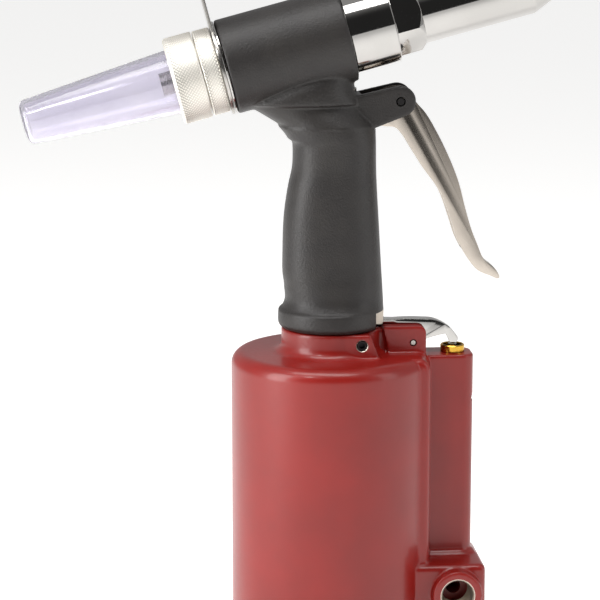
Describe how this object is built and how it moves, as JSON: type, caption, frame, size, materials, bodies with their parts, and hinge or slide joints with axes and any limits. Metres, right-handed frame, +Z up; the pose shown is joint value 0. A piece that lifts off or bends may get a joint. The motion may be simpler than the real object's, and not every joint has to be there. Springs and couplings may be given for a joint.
{
  "type": "pneumatic rivet gun",
  "caption": "Pistol-grip air rivet gun with an upright air cylinder below the grip, a lever valve at its side and a tilted pulling head.",
  "frame": {"origin": "centre of the flat base the gun stands on, on the air cylinder's axis", "axes": "+Z up the air cylinder, +X towards the nose, -Y towards the air inlet's side"},
  "size_m": [0.2419, 0.0878, 0.3005],
  "materials": {
    "red_paint": "gloss red enamel on cast aluminium",
    "black_coating": "fine-textured black coating on cast aluminium",
    "chrome": "bright chrome plate",
    "satin_nickel": "satin nickel plate",
    "knurled_steel": "bright diamond knurl",
    "machined_steel": "machined steel",
    "spring_steel": "spring wire",
    "aluminium": "turned aluminium",
    "brass": "turned brass",
    "black_oxide": "black oxide",
    "rubber": "nitrile rubber",
    "clear_plastic": "clear moulded plastic"
  },
  "bodies": {
    "frame": {"air_cylinder": "red_paint", "base_pad": "rubber", "end_cap": "aluminium", "end_cap_seal": "rubber", "piston_bumper": "rubber", "ram_gland": "brass", "ram_seal": "rubber", "neck_set_screw": "black_oxide", "handle_frame": "black_coating", "hydraulic_tube": "machined_steel", "bleed_screw": "black_oxide", "trigger_pin": "machined_steel", "valve_lever_pin": "machined_steel", "valve_bush": "brass", "valve_seat": "brass", "valve_end_plug": "machined_steel", "head_barrel": "chrome", "rod_seal": "rubber", "nose_housing": "chrome", "nosepiece": "machined_steel", "hanger_plate": "machined_steel", "head_washer": "chrome", "rear_cap": "knurled_steel", "mandrel_tube_seal": "rubber", "valve_spring": "spring_steel", "return_spring": "spring_steel"},
    "trigger": {"trigger": "satin_nickel", "trigger_link_pin": "machined_steel"},
    "trigger_rod": {"trigger_rod": "machined_steel"},
    "valve_lever": {"valve_lever": "chrome"},
    "valve_stem": {"valve_stem": "machined_steel", "valve_stem_seal": "rubber"},
    "air_piston": {"air_piston": "aluminium", "air_piston_seal": "rubber", "ram": "machined_steel", "ram_nut": "machined_steel"},
    "puller": {"pull_piston": "machined_steel", "pull_piston_seal": "rubber", "mandrel_tube": "machined_steel", "jaw_case": "machined_steel", "jaw_lock_nut": "machined_steel", "jaw_spring": "spring_steel"},
    "jaw_1": {"jaw_1": "machined_steel"},
    "jaw_2": {"jaw_2": "machined_steel"},
    "jaw_3": {"jaw_3": "machined_steel"},
    "jaw_pusher": {"jaw_pusher": "machined_steel"},
    "bottle": {"bottle_collar": "knurled_steel", "mandrel_bottle": "clear_plastic"}
  },
  "joints": [
    {"name": "trigger_hinge", "type": "hinge", "parent": "frame", "child": "trigger", "pos_m": [0.0293, 0, 0.2381], "axis": [0, 1, 0], "range_deg": [0, 20], "stiffness_Nm_per_rad": 1, "springref_deg": -17.19},
    {"name": "trigger_rod_slide", "type": "slide", "parent": "frame", "child": "trigger_rod", "axis": [0, 0, 1], "range_m": [0, 0.0046]},
    {"name": "valve_lever_hinge", "type": "hinge", "parent": "frame", "child": "valve_lever", "pos_m": [0.0355, 0, 0.132], "axis": [0, 1, 0], "range_deg": [0, 14.5]},
    {"name": "valve_stem_slide", "type": "slide", "parent": "frame", "child": "valve_stem", "axis": [0, 0, -1], "range_m": [0, 0.0047], "deforming": ["valve_spring"]},
    {"name": "air_piston_slide", "type": "slide", "parent": "frame", "child": "air_piston", "axis": [0, 0, 1], "range_m": [0, 0.085]},
    {"name": "puller_slide", "type": "slide", "parent": "frame", "child": "puller", "axis": [-0.9659, 0, -0.2588], "range_m": [0, 0.0155], "deforming": ["return_spring"]},
    {"name": "jaw_1_slide", "type": "slide", "parent": "puller", "child": "jaw_1", "axis": [0.894, 0, 0.448], "range_m": [0, 0.0025]},
    {"name": "jaw_2_slide", "type": "slide", "parent": "puller", "child": "jaw_2", "axis": [0.9722, -0.1744, 0.1563], "range_m": [0, 0.0025]},
    {"name": "jaw_3_slide", "type": "slide", "parent": "puller", "child": "jaw_3", "axis": [0.9722, 0.1744, 0.1563], "range_m": [0, 0.0025]},
    {"name": "jaw_pusher_slide", "type": "slide", "parent": "puller", "child": "jaw_pusher", "axis": [0.9659, 0, 0.2588], "range_m": [0, 0.00245], "deforming": ["jaw_spring"]},
    {"name": "bottle_slide", "type": "slide", "parent": "frame", "child": "bottle", "axis": [-0.9659, 0, -0.2588], "range_m": [0, 0.025]}
  ],
  "couplings": [
    {"joint": "trigger_rod_slide", "follows": "trigger_hinge", "m_per_rad": 0.01313},
    {"joint": "valve_lever_hinge", "follows": "trigger_hinge", "ratio": 0.72},
    {"joint": "valve_stem_slide", "follows": "trigger_hinge", "m_per_rad": 0.01341},
    {"joint": "puller_slide", "follows": "air_piston_slide", "ratio": 0.18118},
    {"joint": "jaw_1_slide", "follows": "air_piston_slide", "ratio": 0.029382},
    {"joint": "jaw_2_slide", "follows": "air_piston_slide", "ratio": 0.029382},
    {"joint": "jaw_3_slide", "follows": "air_piston_slide", "ratio": 0.029382},
    {"joint": "jaw_pusher_slide", "follows": "air_piston_slide", "ratio": 0.028781}
  ]
}
